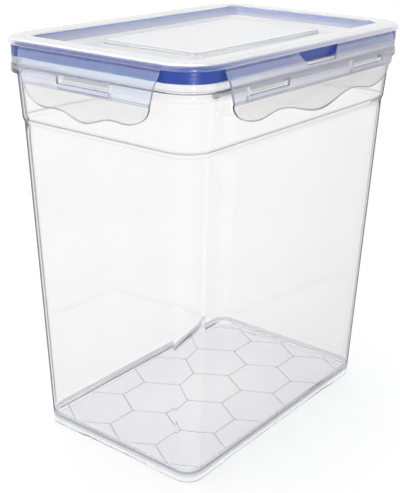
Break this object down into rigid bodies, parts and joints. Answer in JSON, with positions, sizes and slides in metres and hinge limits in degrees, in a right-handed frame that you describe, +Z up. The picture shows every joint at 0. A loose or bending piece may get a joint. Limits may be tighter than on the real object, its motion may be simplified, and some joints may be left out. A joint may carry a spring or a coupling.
{
  "type": "tall food bin with snap lid",
  "caption": "Tall clear rectangular food bin with a lift-off lid, a blue gasket and hinged snap clips on all sides that hook under lugs on the rim.",
  "frame": {"origin": "centre of the base at table height, on the upright middle line of the bin", "axes": "+Z up, X along the long sides, front long side at -Y"},
  "size_m": [0.3034, 0.202, 0.33],
  "materials": {
    "clear_plastic": "clear, polished, moulded in one piece",
    "silicone": "satin blue silicone",
    "milky_plastic": "milky translucent, soft gloss",
    "film_plastic": "thin translucent hinge film"
  },
  "bodies": {
    "bin": {"container": "clear_plastic"},
    "cover": {"lid": "milky_plastic", "gasket": "silicone", "front_film_a": "film_plastic", "front_film_b": "film_plastic", "back_film_a": "film_plastic", "back_film_b": "film_plastic", "left_film": "film_plastic", "right_film": "film_plastic"},
    "front_clip": {"front_clip": "milky_plastic"},
    "back_clip": {"back_clip": "milky_plastic"},
    "left_clip": {"left_clip": "milky_plastic"},
    "right_clip": {"right_clip": "milky_plastic"}
  },
  "joints": [
    {"name": "lid_lift", "type": "slide", "parent": "bin", "child": "cover", "axis": [0, 0, 1], "range_m": [0, 0.12]},
    {"name": "front_clip_hinge", "type": "hinge", "parent": "cover", "child": "front_clip", "pos_m": [0, -0.09615, 0.32405], "axis": [-1, 0, 0], "range_deg": [-3, 110], "deforming": ["front_film_a", "front_film_b"]},
    {"name": "back_clip_hinge", "type": "hinge", "parent": "cover", "child": "back_clip", "pos_m": [0, 0.09615, 0.32405], "axis": [1, 0, 0], "range_deg": [-3, 110], "deforming": ["back_film_a", "back_film_b"]},
    {"name": "left_clip_hinge", "type": "hinge", "parent": "cover", "child": "left_clip", "pos_m": [-0.1469, 0, 0.32405], "axis": [0, 1, 0], "range_deg": [-3, 110], "deforming": ["left_film"]},
    {"name": "right_clip_hinge", "type": "hinge", "parent": "cover", "child": "right_clip", "pos_m": [0.1469, 0, 0.32405], "axis": [0, -1, 0], "range_deg": [-3, 110], "deforming": ["right_film"]}
  ]
}
